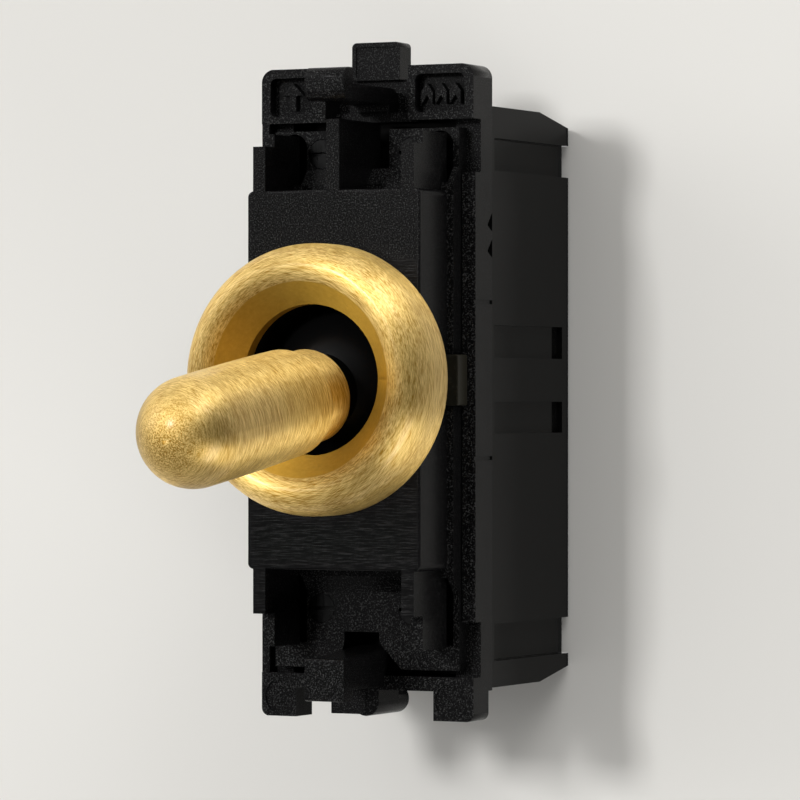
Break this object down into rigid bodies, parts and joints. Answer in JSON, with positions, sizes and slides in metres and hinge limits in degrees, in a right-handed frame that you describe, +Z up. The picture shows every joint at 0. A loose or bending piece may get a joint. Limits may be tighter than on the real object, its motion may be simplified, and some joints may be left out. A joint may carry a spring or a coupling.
{
  "type": "dolly switch",
  "caption": "Grid switch module with a brushed brass dolly and round bezel ring on a slim black moulded body, with finger latches above and below.",
  "frame": {"origin": "where the dolly's centre line, when level, crosses the front panel, at the middle of the bezel ring", "axes": "+X to the right seen from the front, +Y from the front to the rear, +Z up as installed"},
  "size_m": [0.0205, 0.0488, 0.0519],
  "materials": {
    "frame_nylon": "fine spark-textured moulding",
    "cover_nylon": "fine spark-textured moulding",
    "housing_nylon": "smooth satin moulding",
    "actuator_nylon": "smooth satin moulding",
    "clip_nylon": "smooth grey moulding",
    "natural_nylon": "natural nylon",
    "brushed_brass": "fine brushed",
    "terminal_brass": "extruded and sawn",
    "strip_brass": "stamped strip",
    "contact_silver": "silver alloy rivet",
    "plated_steel": "zinc plated",
    "spring_steel": "drawn wire"
  },
  "bodies": {
    "base": {"carrier_frame": "frame_nylon", "front_cover": "cover_nylon", "rear_housing": "housing_nylon", "bezel_ring": "brushed_brass", "pivot_pin": "plated_steel", "upper_fixed_contact": "contact_silver", "lower_fixed_contact": "contact_silver", "upper_strip": "strip_brass", "lower_strip": "strip_brass", "common_strip": "strip_brass", "upper_terminal": "terminal_brass", "lower_terminal": "terminal_brass", "common_terminal": "terminal_brass", "upper_screw": "plated_steel", "lower_screw": "plated_steel", "common_screw": "plated_steel", "case_screws": "plated_steel", "side_clip_right": "clip_nylon", "side_clip_left": "clip_nylon"},
    "lever": {"dolly": "brushed_brass", "dolly_actuator": "actuator_nylon", "snap_spring": "spring_steel"},
    "plunger": {"spring_plunger": "natural_nylon"},
    "rocker": {"contact_rocker": "strip_brass", "upper_moving_contact": "contact_silver", "lower_moving_contact": "contact_silver"}
  },
  "joints": [
    {"name": "dolly_hinge", "type": "hinge", "parent": "base", "child": "lever", "pos_m": [0, 0.0044, 0], "axis": [-1, 0, 0], "range_deg": [0, 16.6]},
    {"name": "rocker_hinge", "type": "hinge", "parent": "base", "child": "rocker", "pos_m": [0, 0.0143, 0], "axis": [1, 0, 0], "range_deg": [0, 15]},
    {"name": "plunger_slide", "type": "slide", "parent": "lever", "child": "plunger", "axis": [0, 0.9895, 0.1444], "range_m": [-0.0005, 0], "stiffness_N_per_m": 800, "springref_m": 0.001, "deforming": ["snap_spring"]}
  ],
  "couplings": [
    {"joint": "rocker_hinge", "follows": "dolly_hinge", "ratio": 0.9036}
  ]
}
